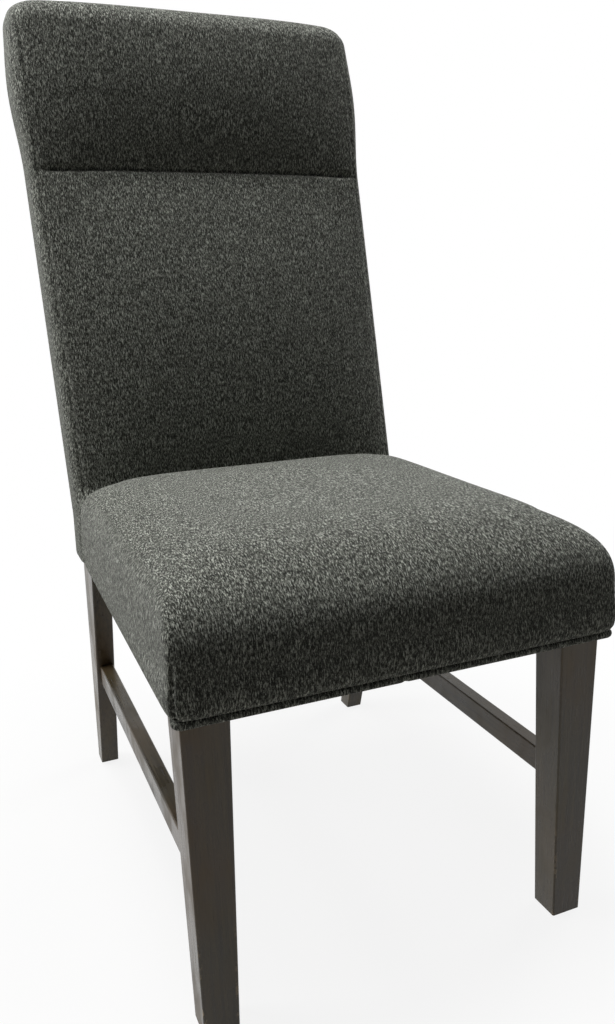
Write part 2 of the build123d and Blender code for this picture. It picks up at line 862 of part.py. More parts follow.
# Side panels and the layers of the outer back follow the posts
def rear_points(offset, top):
    """The back of the posts, shifted backwards: top, knee and lower edge."""
    return (
        (post_back(top) + offset, top),
        (leg_back_line(back_knee_z) + offset, back_knee_z),
        (leg_back_line(back_low) + offset, back_low),
    )


with BuildPart() as back_side_panel:
    low, middle, crease = inside_back_points(back_half - fabric, 0)
    tucked, belly, shoulder, front_top = pillow_points(back_half - fabric, 0)
    rear = rear_points(outer_back_depth, front_top[1])
    with BuildSketch(Plane.YZ.offset(back_half - fabric)) as side_sketch:
        with BuildLine():
            Line((post_front(back_low), back_low), low)
            ThreePointArc(low, middle, crease)
            ThreePointArc(crease, belly, shoulder)
            Polyline(shoulder, front_top, rear[0])
            FilletPolyline(*rear, radius=knee_radius)
            Line(rear[-1], (post_front(back_low), back_low))
        make_face()
        crown = side_sketch.vertices().group_by(Axis.Y)[-1].sort_by(Axis.X)
        fillet(crown[0], top_front_radius)
        crown = side_sketch.vertices().group_by(Axis.Y)[-1].sort_by(Axis.X)
        fillet(crown[-1], top_rear_radius)
    extrude(amount=fabric)
save_pair(back_side_panel, "back_side_panel")


def rear_layer(start, thickness, half, top):
    """A sheet of the outer back, bent over the posts' knee."""
    near = rear_points(start, top)
    far = rear_points(start + thickness, top)
    with BuildSketch(Plane.YZ) as layer_sketch:
        with BuildLine():
            FilletPolyline(*near, radius=knee_radius)
            Line(near[-1], far[-1])
            FilletPolyline(*far, radius=knee_radius)
            Line(near[0], far[0])
        make_face()
    extrude(layer_sketch.sketch, amount=half, both=True)


with BuildPart() as outer_back_board:
    rear_layer(0, outer_board, rear_outer, post_height)
save(outer_back_board, "outer_back_board")

with BuildPart() as outer_back_wadding:
    rear_layer(outer_board, outer_wadding, rear_outer, post_height)
save(outer_back_wadding, "outer_back_wadding")

with BuildPart() as outer_back_cover:
    rear_layer(outer_board + outer_wadding, fabric, cover_half, outer_back_top)
save(outer_back_cover, "outer_back_cover")

# Edge wadding: strips on the outer faces of the posts, under the side panels
edge_start = rear_outer + gap
with BuildPart() as back_edge_wadding:
    rear = rear_points(0, post_height)
    with BuildSketch(Plane.YZ.offset(edge_start)):
        with BuildLine():
            FilletPolyline(*rear, radius=knee_radius)
            Polyline(
                rear[-1],
                (post_front(back_low), back_low),
                (post_front(post_height), post_height),
                rear[0],
            )
        make_face()
    extrude(amount=back_half - fabric - gap - edge_start)
save_pair(back_edge_wadding, "back_edge_wadding")
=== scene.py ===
import math

import bpy
import numpy as np
from mathutils import Matrix, Vector


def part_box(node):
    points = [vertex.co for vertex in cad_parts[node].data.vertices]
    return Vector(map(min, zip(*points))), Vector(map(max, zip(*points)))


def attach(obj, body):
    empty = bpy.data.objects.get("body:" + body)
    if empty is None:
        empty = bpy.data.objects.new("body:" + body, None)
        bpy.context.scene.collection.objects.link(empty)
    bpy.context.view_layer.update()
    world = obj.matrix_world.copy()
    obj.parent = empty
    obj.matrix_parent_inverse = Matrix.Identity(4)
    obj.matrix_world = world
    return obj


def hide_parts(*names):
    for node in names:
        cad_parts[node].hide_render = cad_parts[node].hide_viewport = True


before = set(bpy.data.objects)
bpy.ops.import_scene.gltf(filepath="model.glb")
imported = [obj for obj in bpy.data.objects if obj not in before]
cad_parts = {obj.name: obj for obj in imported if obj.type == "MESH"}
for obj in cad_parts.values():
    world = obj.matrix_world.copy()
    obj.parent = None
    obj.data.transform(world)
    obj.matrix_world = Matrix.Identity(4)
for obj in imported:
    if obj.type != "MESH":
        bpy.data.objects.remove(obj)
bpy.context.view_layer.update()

# Legs and side stretchers: sawn from straight-grained hardwood, eased along the edges and stained a
# dark grey brown under a satin lacquer. The front legs' corners are chipped pale near the floor.


class Wire:
    """A socket in one material. Arithmetic on it adds Math nodes, and node() adds any other node."""

    def __init__(self, tree, socket=None):
        self.tree = tree
        self.socket = socket

    def node(self, kind, settings=None, inputs=None, output=0):
        """A new node with these settings and inputs, as a wire from one of its outputs."""
        made = self.tree.nodes.new(kind)
        for name, value in (settings or {}).items():
            setattr(made, name, value)
        for name, value in (inputs or {}).items():
            if isinstance(value, Wire):
                self.tree.links.new(value.socket, made.inputs[name])
            else:
                made.inputs[name].default_value = value
        return Wire(self.tree, made.outputs[output] if len(made.outputs) else None)

    def maths(self, operation, first, second=0.0):
        """One Math node."""
        return self.node("ShaderNodeMath", {"operation": operation}, {0: first, 1: second})

    def __add__(self, other):
        return self.maths("ADD", self, other)

    def __sub__(self, other):
        return self.maths("SUBTRACT", self, other)

    def __rsub__(self, other):
        return self.maths("SUBTRACT", other, self)

    def __mul__(self, other):
        return self.maths("MULTIPLY", self, other)

    def __abs__(self):
        return self.maths("ABSOLUTE", self)

    __radd__ = __add__
    __rmul__ = __mul__

    def lesser(self, other):
        """The smaller of two values."""
        return self.maths("MINIMUM", self, other)

    def greater(self, other):
        """The larger of two values."""
        return self.maths("MAXIMUM", self, other)

    def axis(self, number):
        """One axis of a vector."""
        return self.node("ShaderNodeSeparateXYZ", None, {0: self}, number)

    def scaled(self, factors):
        """A vector times another, axis by axis."""
        return self.node("ShaderNodeVectorMath", {"operation": "MULTIPLY"}, {0: self, 1: factors})

    def noise(self, scale, detail=2.0, roughness=0.5):
        """Noise at this place, from 0 to 1."""
        inputs = {"Vector": self, "Scale": scale, "Detail": detail, "Roughness": roughness}
        return self.node("ShaderNodeTexNoise", None, inputs)

    def between(self, low, high):
        """Smoothly from 0 at low to 1 at high."""
        inputs = {0: self, 1: low, 2: high}
        return self.node("ShaderNodeMapRange", {"interpolation_type": "SMOOTHSTEP"}, inputs)

    def blend(self, first, second):
        """From the first colour to the second by this share."""
        return self.node("ShaderNodeMix", {"data_type": "RGBA"}, {0: self, 6: first, 7: second}, 2)

    def bump(self, distance, strength=1.0):
        """A Normal raised by this height."""
        inputs = {"Height": self, "Distance": distance, "Strength": strength}
        return self.node("ShaderNodeBump", None, inputs)


def paint(red, green, blue):
    """A colour as it looks on screen, from 0 to 255, in the shader's own units."""
    parts = [value / 255 for value in (red, green, blue)]
    return (*[p / 12.92 if p <= 0.04045 else ((p + 0.055) / 1.055) ** 2.4 for p in parts], 1)


def material(name):
    """A new material, the wire that its nodes grow from, and the place on the object."""
    made = bpy.data.materials.new(name)
    made.use_nodes = True
    made.node_tree.nodes.clear()
    wire = Wire(made.node_tree)
    return made, wire, wire.node("ShaderNodeTexCoord", output="Object")


def surface(wire, inputs):
    """One Principled surface with these inputs."""
    shader = wire.node("ShaderNodeBsdfPrincipled", None, inputs)
    wire.node("ShaderNodeOutputMaterial", None, {"Surface": shader})


def along_grain(place, grain_axis, stretch):
    """The place with one axis drawn out, so that noise on it runs with the grain."""
    factors = [1.0, 1.0, 1.0]
    factors[grain_axis] = stretch
    return place.scaled(factors)


def stained_wood(name, grain_axis, chips=None):
    """Dark stain over straight grain along one axis, with any chipped corners as a mask on top."""
    made, wire, place = material(name)
    grain = along_grain(place, grain_axis, 0.03)
    figure = grain.noise(26, 3, 0.55)
    streaks = grain.noise(240, 3, 0.6)
    pores = grain.noise(850, 1, 0.5).between(0.6, 0.72)
    cloud = place.noise(6, 2, 0.5)
    smudge = place.scaled((1, 1, 0.6)).noise(22, 3, 0.6).between(0.4, 0.66)
    tone = (figure * 0.6 + streaks * 0.4).between(0.34, 0.68)
    colour = tone.blend(paint(42, 37, 27), paint(90, 80, 58))
    colour = (cloud.between(0.42, 0.68) * 0.7).blend(colour, paint(84, 66, 42))
    colour = (pores * 0.5).blend(colour, paint(27, 25, 20))
    if chips:
        colour = chips(place).blend(colour, paint(168, 150, 122))
    inputs = {
        "Base Color": colour,
        "Roughness": 0.2 + streaks * 0.12 + pores * 0.1 + smudge * 0.16,
        "Specular IOR Level": 0.34,
        "Normal": (streaks * 0.5 - pores * 0.6).bump(0.0003, 0.5),
    }
    surface(wire, inputs)
    return made


def dress(finish, *nodes):
    """Give CAD nodes one finish."""
    for node in nodes:
        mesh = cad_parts[node].data
        mesh.materials.clear()
        mesh.materials.append(finish)


X, Y, Z = range(3)
SIDES = ("left", "right")
leg_low, leg_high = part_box("front_leg_right")
foot_inner_x = 0.187
chip_reach, chip_core = 0.0042, 0.00105
chip_height, chip_full_height = 0.16, 0.01


def corner_chips(place):
    """Where the lacquer has chipped: along the two front corners of a front leg, near its foot."""
    off_middle = abs(place.axis(X))
    depth = place.axis(Y) - leg_low.y
    up = place.axis(Z)
    inner = foot_inner_x - up * ((foot_inner_x - leg_low.x) / leg_high.z)
    corner = (off_middle - inner).lesser(leg_high.x - off_middle)
    near = (corner * corner + depth * depth).between(chip_reach**2, chip_core**2)
    rough = place.scaled((1, 1, 0.45)).noise(170, 4, 0.7).between(0.52, 0.6)
    return near * rough * up.between(chip_height, chip_full_height)


leg_wood = stained_wood("front_leg_stain", Z, corner_chips)
post_wood = stained_wood("rear_leg_stain", Z)
stretcher_wood = stained_wood("stretcher_stain", Y)
for side in SIDES:
    dress(leg_wood, f"front_leg_{side}")
    dress(post_wood, f"rear_leg_{side}")
    dress(stretcher_wood, f"side_stretcher_{side}")

# Glides: black plastic buttons under the four feet, each moulded round a nail that is driven up into
# the leg. The floor has scuffed them grey.
glide_plastic, wire, place = material("glide_plastic")
scuff = place.noise(420, 4, 0.7)
surface(
    wire,
    {
        "Base Color": scuff.between(0.55, 0.75).blend(paint(26, 26, 27), paint(74, 73, 70)),
        "Roughness": 0.4 + scuff * 0.3,
        "Normal": scuff.bump(0.0002),
    },
)
dress(glide_plastic, "foot_glides")

# Hidden frame: pale sawn rails, corner blocks, dowels and boards, glued up and left bare
# under the upholstery.


def bare_wood(name, light, dark, grain_axis):
    """Sawn timber or board with no finish on it."""
    made, wire, place = material(name)
    grain = along_grain(place, grain_axis, 0.05)
    rings = grain.noise(60, 3, 0.6)
    fibres = grain.noise(700, 2, 0.6)
    inputs = {
        "Base Color": (rings * 0.7 + fibres * 0.3).between(0.35, 0.65).blend(dark, light),
        "Roughness": 0.65 + fibres * 0.2,
        "Normal": fibres.bump(0.0003),
    }
    surface(wire, inputs)
    return made


pine = (paint(205, 176, 132), paint(160, 122, 78))
beech = (paint(214, 184, 146), paint(178, 138, 98))
board = (paint(176, 148, 112), paint(126, 98, 68))
cross_rails = ("seat_front_rail", "seat_rear_rail")
back_rails = ("back_crest_rail", "back_middle_rail", "back_lower_rail")
blocks = [f"corner_block_{end}_{side}" for end in ("front", "rear") for side in SIDES]
dress(bare_wood("cross_rail_pine", *pine, X), *cross_rails, *back_rails)
dress(bare_wood("side_rail_pine", *pine, Y), *[f"seat_side_rail_{side}" for side in SIDES])
dress(bare_wood("block_pine", *pine, Z), *blocks)
dress(bare_wood("dowel_beech", *beech, X), "seat_rail_dowels", "back_rail_dowels")
dress(bare_wood("back_board", *board, Z), "back_panel", "outer_back_board")

# Fasteners: leg bolts with washers and nuts through the front corner blocks, and wood screws in all
# four blocks. They are steel, plated in bright zinc.
zinc, wire, place = material("zinc_plate")
spangle = place.noise(500, 3, 0.6)
surface(
    wire,
    {
        "Base Color": spangle.blend(paint(150, 152, 150), paint(196, 196, 188)),
        "Metallic": 1.0,
        "Roughness": 0.3 + spangle * 0.25,
    },
)
dress(zinc, "leg_bolts", "leg_bolt_washers", "leg_bolt_nuts", "corner_block_screws")

# Seat straps: woven polypropylene webbing, stretched across the rails lengthwise and crosswise. The
# straps carry the seat's foam.
strap_webbing, wire, place = material("strap_webbing")
ribs = place.scaled((1, 1, 0)).noise(900, 1, 0.5)
surface(
    wire,
    {
        "Base Color": ribs.between(0.4, 0.6).blend(paint(46, 44, 40), paint(112, 104, 90)),
        "Roughness": 0.7 + ribs * 0.2,
        "Normal": ribs.bump(0.0005),
    },
)
dress(strap_webbing, "seat_webbing_lengthwise", "seat_webbing_crosswise")

# Seat: a foam block on the straps under one tight tweed cover, stuffed until it swells. The cover
# rolls over the front and sides, is sewn in a dart at both front corners and wraps under the rails.


def tweed(name):
    """Heathered charcoal cloth: dark and pale yarns in short flecks that run with the warp."""
    made, wire, place = material(name)
    facing = wire.node("ShaderNodeNewGeometry", output="Normal")
    sideways = abs(facing.axis(X)).between(0.62, 0.8)
    front_yarn = place.scaled((920, 250, 250)).noise(1, 3, 0.7)
    side_yarn = place.scaled((250, 920, 250)).noise(1, 3, 0.7)
    yarn = front_yarn + (side_yarn - front_yarn) * sideways
    grain = place.noise(1100, 1, 0.5)
    cloud = place.noise(14, 2, 0.5)
    mix = yarn * 0.75 + grain * 0.25
    colour = mix.between(0.42, 0.64).blend(paint(34, 35, 30), paint(160, 163, 153))
    pale = yarn.between(0.55, 0.66) * 0.85
    colour = pale.blend(colour, paint(222, 225, 214))
    colour = (cloud.between(0.35, 0.7) * 0.1).blend(colour, paint(70, 71, 64))
    inputs = {
        "Base Color": colour,
        "Roughness": 0.9 + pale * 0.05,
        "Sheen Weight": 0.12,
        "Sheen Roughness": 0.5,
        "Specular IOR Level": 0.15,
        "Normal": mix.bump(0.0012, 0.7),
    }
    surface(wire, inputs)
    return made


def smooth(value, low, high):
    """Smoothly from 0 at low to 1 at high, for arrays."""
    share = np.clip((value - low) / (high - low), 0, 1)
    return share * share * (3 - 2 * share)


def bell(distance, width):
    """From 1 on a line to nothing a few widths away from it."""
    return np.exp(-((distance / width) ** 2))


def where_points(piece):
    """A mesh's points as rows of x, y and z."""
    numbers = np.empty(len(piece.data.vertices) * 3, np.float32)
    piece.data.vertices.foreach_get("co", numbers)
    return numbers.reshape(-1, 3).astype(float)


def move_points(piece, points):
    """Put a mesh's points in new places."""
    piece.data.vertices.foreach_set("co", points.astype(np.float32).ravel())
    piece.data.update()


def close(piece, reach):
    """Merge doubled points, turn the faces outwards and shade the piece smooth."""
    bpy.ops.object.mode_set(mode="EDIT")
    bpy.ops.mesh.select_all(action="SELECT")
    bpy.ops.mesh.remove_doubles(threshold=reach)
    bpy.ops.mesh.normals_make_consistent(inside=False)
    bpy.ops.object.mode_set(mode="OBJECT")
    bpy.ops.object.shade_smooth()


def stuff(piece, held, most):
    """Blow a cover up from inside where it isn't held, by no more than a given reach."""
    start = where_points(piece)
    sewn = piece.vertex_groups.new(name="sewn")
    for level in np.unique(np.round(held, 1)):
        alike = np.flatnonzero(np.round(held, 1) == level)
        sewn.add(alike.tolist(), float(level), "REPLACE")
    cloth = piece.modifiers.new("stuffing", "CLOTH")
    cloth.settings.use_pressure = True
    cloth.settings.uniform_pressure_force = stuffing_pressure
    cloth.settings.vertex_group_mass = "sewn"
    cloth.settings.tension_stiffness = 25
    cloth.settings.compression_stiffness = 8
    cloth.settings.bending_stiffness = 12
    cloth.settings.effector_weights.gravity = 0
    cloth.point_cache.frame_end = stuffing_frames
    for number in range(1, stuffing_frames + 1):
        bpy.context.scene.frame_set(number)
    bpy.ops.object.modifier_apply(modifier="stuffing")
    bpy.context.scene.frame_set(1)

    # The swell is evened out along the cover's threads, which takes its small buckles away.
    swell = where_points(piece) - start
    ends = np.array([edge.vertices for edge in piece.data.edges])
    neighbours = np.bincount(ends.ravel(), minlength=len(start))[:, None]
    for _ in range(settling_rounds):
        spread = np.zeros_like(swell)
        np.add.at(spread, ends[:, 0], swell[ends[:, 1]])
        np.add.at(spread, ends[:, 1], swell[ends[:, 0]])
        swell = swell / 2 + spread / neighbours / 2
    reach = np.maximum(np.linalg.norm(swell, axis=1), least_swell)
    move_points(piece, start + swell * (most * np.tanh(reach / most) / reach)[:, None])
    piece.vertex_groups.clear()


def refine(piece):
    """One level of subdivision, applied."""
    rounding = piece.modifiers.new("rounding", "SUBSURF")
    rounding.levels = rounding.render_levels = 1
    bpy.ops.object.modifier_apply(modifier="rounding")


def upholster(piece, name, *nodes):
    """Name, cover and seat a soft piece that stands for these CAD nodes."""
    piece.name = name
    piece.data.materials.append(tweed_cloth)
    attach(piece, "root")
    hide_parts(*nodes)


tweed_cloth = tweed("charcoal_tweed")
stuffing_frames, stuffing_pressure, settling_rounds, least_swell = 20, 4, 90, 1e-9
merge_reach, least_share = 1e-6, 1e-6
seat_low, seat_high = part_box("seat_cover")
seat_rear_half, seat_crown_z, wall_top_z = 0.229, 0.4796, 0.385
seat_swell, seat_swell_limit = 0.006, 0.004
hem_height, hem_tuck, hem_wrap = 0.010, 0.004, 0.0072
wrap_from, wrap_to = 0.012, 0.05
side_power, front_power, rear_power = 5.0, 3.2, 6.0
front_corner_power, rear_corner_power, crown_power, crown_ease = 36, 28, 2, 7
seat_cuts, even_share, wall_split, edge_height = 49, 0.15, 0.40, 0.888
sewn_below, free_above = 0.006, 0.045
free_before, sewn_behind = 0.020, 0.004

bpy.ops.object.select_all(action="DESELECT")
bpy.ops.mesh.primitive_cube_add(size=2)
seat = bpy.context.object
bpy.ops.object.mode_set(mode="EDIT")
bpy.ops.mesh.select_all(action="SELECT")
bpy.ops.mesh.subdivide(number_cuts=seat_cuts)
bpy.ops.object.mode_set(mode="OBJECT")
cube = where_points(seat)
cube[:, :2] = even_share * cube[:, :2] + (1 - even_share) * np.sin(math.pi / 2 * cube[:, :2])


def drawn_share(height, power):
    """How much of the seat's reach is left at a height of its crown, from 0 to 1."""
    return np.maximum(1 - height**power, 0) ** (1 / power)


# The cube's top becomes the crown, its walls the rolled sides, and its floor the hem.
on_top = cube[:, 2] > 1 - merge_reach
on_floor = cube[:, 2] < -1 + merge_reach
at_front = cube[:, 1] < 0
ring = np.maximum(np.abs(cube[:, 0]), np.abs(cube[:, 1]))
wall = np.clip((cube[:, 2] + 1) / 2, 0, 1)
edge_share = drawn_share(edge_height, side_power)
crown_height = drawn_share(ring * edge_share, side_power)
rolled = np.clip((wall - wall_split) / (1 - wall_split), 0, 1)
height = np.where(on_top, crown_height, edge_height * np.sin(math.pi / 2 * rolled))
side_share = drawn_share(height, side_power)
end_share = np.where(at_front, drawn_share(height, front_power), drawn_share(height, rear_power))

# In plan each level is a rounded rectangle, squarer at the hem than at the crown.
corner_power = np.where(at_front, front_corner_power, rear_corner_power)
plan_power = crown_power + (corner_power - crown_power) * side_share**crown_ease
square = np.abs(cube[:, :2]) / np.maximum(ring, least_share)[:, None]
rounding = np.maximum((square ** plan_power[:, None]).sum(1) ** (1 / plan_power), least_share)
plan = square / rounding[:, None] * np.sign(cube[:, :2])
half_depth = (seat_high.y - seat_low.y) / 2
middle_y = (seat_high.y + seat_low.y) / 2
y = plan[:, 1] * end_share * half_depth
half_width = seat_high.x + (seat_rear_half - seat_high.x) * (y + half_depth) / (2 * half_depth)
x = plan[:, 0] * side_share * half_width
below = np.where(on_top, 0, np.clip(1 - wall / wall_split, 0, 1))
z = np.where(
    below > 0,
    wall_top_z - below * (wall_top_z - seat_low.z),
    wall_top_z + height * (seat_crown_z - seat_swell - wall_top_z),
)
drawn_in = hem_tuck * np.clip((seat_low.z + hem_height - z) / hem_height, 0, 1) ** 2
x -= drawn_in * plan[:, 0]
y -= drawn_in * plan[:, 1]
x = np.where(on_floor, x * ring, x)
y = np.where(on_floor, y * ring, y)
z = np.where(on_floor, seat_low.z - hem_wrap * smooth(1 - ring, wrap_from, wrap_to), z)
move_points(seat, np.stack([x, y + middle_y, z], 1))
close(seat, merge_reach)
points = where_points(seat)
held = 1 - smooth(points[:, 2], seat_low.z + sewn_below, seat_low.z + free_above)
held_behind = smooth(points[:, 1], seat_high.y - free_before, seat_high.y - sewn_behind)
stuff(seat, np.maximum(held, held_behind), seat_swell_limit)
refine(seat)

# Front corner darts: a sewn line from the hem up, pulled in at each stitch.
dart_top, dart_foot, dart_fade, dart_zone = 0.425, 0.002, 0.04, 0.06
dart_width, dart_depth, stitch_length, stitch_dip = 0.0024, 0.0040, 0.0068, 0.28
points = where_points(seat)
beside = np.abs(points[:, 0]) - seat_high.x
inward = points[:, 1] - seat_low.y
near_corner = (beside > -dart_zone) & (inward < dart_zone) & (points[:, 2] > seat_low.z + dart_foot)
dart = dart_depth * near_corner * bell(np.abs(inward + beside) / math.sqrt(2), dart_width)
dart *= smooth(dart_top - points[:, 2], 0, dart_fade)
dart *= 1 - stitch_dip + stitch_dip * np.cos(2 * math.pi * points[:, 2] / stitch_length)
points[:, 0] -= dart * np.sign(points[:, 0]) * math.sqrt(0.5)
points[:, 1] += dart * math.sqrt(0.5)
move_points(seat, points)
upholster(seat, "seat_cushion", "seat_cover", "seat_wadding", "seat_foam")

# Welt: a piping cord in a strip of the same cloth, sewn under the seat's front edge. It turns in at
# both corners, and the strip's two ends are butted together left of the middle.
welt_low, welt_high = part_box("seat_welt")
welt_radius = (welt_high.z - welt_low.z) / 2
welt_z = (welt_low.z + welt_high.z) / 2
welt_turn, run_steps, turn_steps = 0.005, 240, 8
butt_x, butt_width, butt_pinch, end_taper = -0.012, 0.0022, 0.75, 0.5

end_x, front_y = welt_high.x - welt_radius, welt_low.y + welt_radius
right_end = [
    (end_x - welt_turn * (1 - math.sin(angle)), front_y + welt_turn * (1 - math.cos(angle)))
    for angle in np.linspace(0, math.pi / 2, turn_steps + 1)
]
right_end.append((end_x, welt_high.y))
run = [(px, front_y) for px in np.linspace(welt_turn - end_x, end_x - welt_turn, run_steps)]
route = [(-px, py) for px, py in reversed(right_end)] + run[1:-1] + right_end
line = bpy.data.curves.new("welt_line", "CURVE")
line.dimensions = "3D"
line.bevel_depth = welt_radius
line.bevel_resolution = 4
line.use_fill_caps = True
spline = line.splines.new("POLY")
spline.points.add(len(route) - 1)
for point, (px, py) in zip(spline.points, route):
    at_end = abs(px) == end_x and py == welt_high.y
    point.co = (px, py, welt_z, 1)
    point.radius = end_taper if at_end else 1 - (1 - butt_pinch) * bell(px - butt_x, butt_width)
welt = bpy.data.objects.new("seat_piping", line)
bpy.context.scene.collection.objects.link(welt)
bpy.ops.object.select_all(action="DESELECT")
bpy.context.view_layer.objects.active = welt
welt.select_set(True)
bpy.ops.object.convert(target="MESH")
close(welt, merge_reach)
upholster(welt, "seat_piping", "seat_welt")

# Back: foam and wadding over the posts in one tight tweed cover, stuffed like the seat. A front panel
# and a fuller head pillow meet in a deep crease, boxed strips wrap the sides, and the rear is plain.
side_low, side_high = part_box("back_side_panel_right")
back_half, back_low_z = side_high.x, side_low.z
back_top_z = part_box("headrest_cover")[1].z
crease_z, panel_bottom_z, panel_hem_z = 0.838, 0.440, 0.447
knee_y, knee_z, lean = 0.136, 0.345, math.tan(math.radians(13.9))
post_depth, padding, rear_padding = 0.036, 0.020, 0.0095
leg_back_y, leg_back_z, leg_back_slope = 0.277, 0.003, -0.2193
front_round, rear_round = 0.018, 0.010
tuck_reach, tuck_start, tuck_fade, tuck_power = 0.024, 0.005, 0.03, 3
panel_crown, panel_power = 0.025, 3.6
pillow_full, pillow_edge, pillow_bow, pillow_width = 0.021, 0.007, 2.2, 0.006
crease_depth, crease_above, crease_below = 0.005, 0.004, 0.003
crease_margin, crease_fade = 0.010, 0.016
crease_arch, arch_reach = 0.004, 0.08
top_front, top_rear, top_side, top_dome, top_margin = 0.026, 0.016, 0.025, 0.0015, 0.03
back_swell_limit, seam_hold, crease_hold, rear_hold = 0.006, 0.004, 0.005, 0.012
back_merge_reach = 1e-5

# The columns go round the back: across the front, round an edge, along a side and so on.
FRONT, FRONT_EDGE, FLANK, REAR_EDGE, REAR = range(5)
middle_columns, outer_columns, edge_columns, flank_columns = 26, 9, 8, 11
flat_half, wide_from = back_half - front_round, 0.18
right_half = np.linspace(0, wide_from, middle_columns)
right_half = np.append(right_half, np.linspace(wide_from, flat_half, outer_columns)[1:])
shares = np.append(-right_half[:0:-1], right_half) / flat_half
turns = np.linspace(0, math.pi / 2, edge_columns)[1:]
flank_shares = np.arange(1, flank_columns) / flank_columns
columns = [(FRONT, share, 0) for share in shares]
columns += [(FRONT_EDGE, 1, turn) for turn in turns]
columns += [(FLANK, 1, share) for share in flank_shares]
columns += [(REAR_EDGE, 1, turn) for turn in turns]
columns += [(REAR, share, 0) for share in shares[::-1]]
columns += [(REAR_EDGE, -1, turn) for turn in turns[::-1]]
columns += [(FLANK, -1, share) for share in flank_shares[::-1]]
columns += [(FRONT_EDGE, -1, turn) for turn in turns[::-1]]
columns.append(columns[0])

# The rows go up it: the closed foot, the height with close rows at the crease, the roll over the top,
# and the top drawn together to its middle.
crease_rows = [(-0.030, 72), (-0.006, 9), (0.010, 11), (0.040, 11)]
pillow_rows, roll_rows, closing_rows = 22, 11, 5
row_stops = [(crease_z + offset, count) for offset, count in crease_rows]
row_stops.append((back_top_z - top_front, pillow_rows))
upright = [back_low_z]
for stop, count in row_stops:
    upright.extend(np.linspace(upright[-1], stop, count)[1:])
rolls = np.linspace(0, math.pi / 2, roll_rows)[1:]
pinches = np.arange(1, closing_rows + 1) / closing_rows
roll_z = back_top_z - top_front * (1 - np.sin(rolls))
row_z = np.concatenate([[back_low_z], upright, roll_z, np.full(len(pinches), back_top_z)])
row_roll = np.concatenate([np.zeros(1 + len(upright)), rolls, np.full(len(pinches), math.pi / 2)])
row_pinch = np.concatenate([[1], np.zeros(len(upright) + len(rolls)), pinches])

bpy.ops.object.select_all(action="DESELECT")
bpy.ops.mesh.primitive_grid_add(
    x_subdivisions=len(columns) - 1, y_subdivisions=len(row_z) - 1, size=2
)
back = bpy.context.object
grid = where_points(back)
column = np.rint((grid[:, 0] + 1) / 2 * (len(columns) - 1)).astype(int)
row = np.rint((grid[:, 1] + 1) / 2 * (len(row_z) - 1)).astype(int)
kind, part, turn = np.array(columns).T[:, column]
z, roll, pinch = row_z[row], row_roll[row], row_pinch[row]


def post_line(height):
    """How far back the front faces of the raked posts stand at a height."""
    return knee_y + (height - knee_z) * lean


def fullness_at(x):
    """How much of the front's swell is left at this distance from the middle."""
    return 1 - np.clip(np.abs(x) / back_half, 0, 1) ** panel_power


# The upright walls, which lean with the posts, tuck into the seat below and draw in over the top.
tip = 1 - np.cos(roll)
front = post_line(np.maximum(z, panel_bottom_z)) - padding + top_front * tip
tuck = tuck_reach * smooth(panel_hem_z + tuck_start - z, 0, tuck_fade)
rear = np.maximum(post_line(z) + post_depth, leg_back_y + (z - leg_back_z) * leg_back_slope)
rear = rear + rear_padding - top_rear * tip
pillow = np.clip((z - crease_z) / (back_top_z - crease_z), 0, 1)
half = back_half + pillow_width * np.sin(math.pi * pillow) ** 2 - top_side * tip
inner = half - front_round
x = np.choose(
    kind.astype(int),
    [
        part * inner,
        part * (inner + front_round * np.sin(turn)),
        part * half,
        part * (half - rear_round + rear_round * np.cos(turn)),
        part * (half - rear_round),
    ],
)
y = np.choose(
    kind.astype(int),
    [
        front - tuck,
        front - tuck * np.cos(turn) ** tuck_power + front_round * (1 - np.cos(turn)),
        front + front_round + turn * (rear - rear_round - front - front_round),
        rear - rear_round * (1 - np.sin(turn)),
        rear,
    ],
)

# The front swells between its edges, tucks in at the crease and rolls over it as the pillow.
fullness = fullness_at(x)
panel = np.clip((z - panel_bottom_z) / (crease_z - panel_bottom_z), 0, 1)
risen = np.clip((z - crease_z) / (back_top_z - top_front - crease_z), 0, 1)
belly = (pillow_edge + pillow_full * fullness) * (1 - (1 - risen) ** pillow_bow)
above = z >= crease_z
swell = np.where(above, belly, panel_crown * fullness * 4 * panel * (1 - panel))
crease = crease_depth * bell(z - crease_z, np.where(above, crease_above, crease_below))
swell -= crease * smooth(back_half - crease_margin - np.abs(x), 0, crease_fade)
facing = np.where(kind == FRONT, 1, np.where(kind == FRONT_EDGE, np.cos(turn), 0))
arch = crease_arch * fullness * facing * bell(z - crease_z, arch_reach)
y = y - swell * facing + arch * lean
z = z + arch
y = y + ((front + rear) / 2 - y) * pinch
x = x + (np.clip(x, top_margin - half, half - top_margin) - x) * pinch
z = z + np.where(roll > 0, top_dome * pinch, 0)
move_points(back, np.stack([x, y, z], 1))
close(back, back_merge_reach)
points = where_points(back)
crease_line = crease_z + crease_arch * fullness_at(points[:, 0])
sewn_sides = bell(np.abs(points[:, 0]) - flat_half, seam_hold)
sewn_crease = bell(points[:, 2] - crease_line, crease_hold)
behind = points[:, 1] > post_line(points[:, 2]) + rear_hold
tucked = points[:, 2] < panel_hem_z
held = np.where(behind | tucked, 1, np.maximum(sewn_sides, sewn_crease))
stuff(back, held, back_swell_limit)
refine(back)

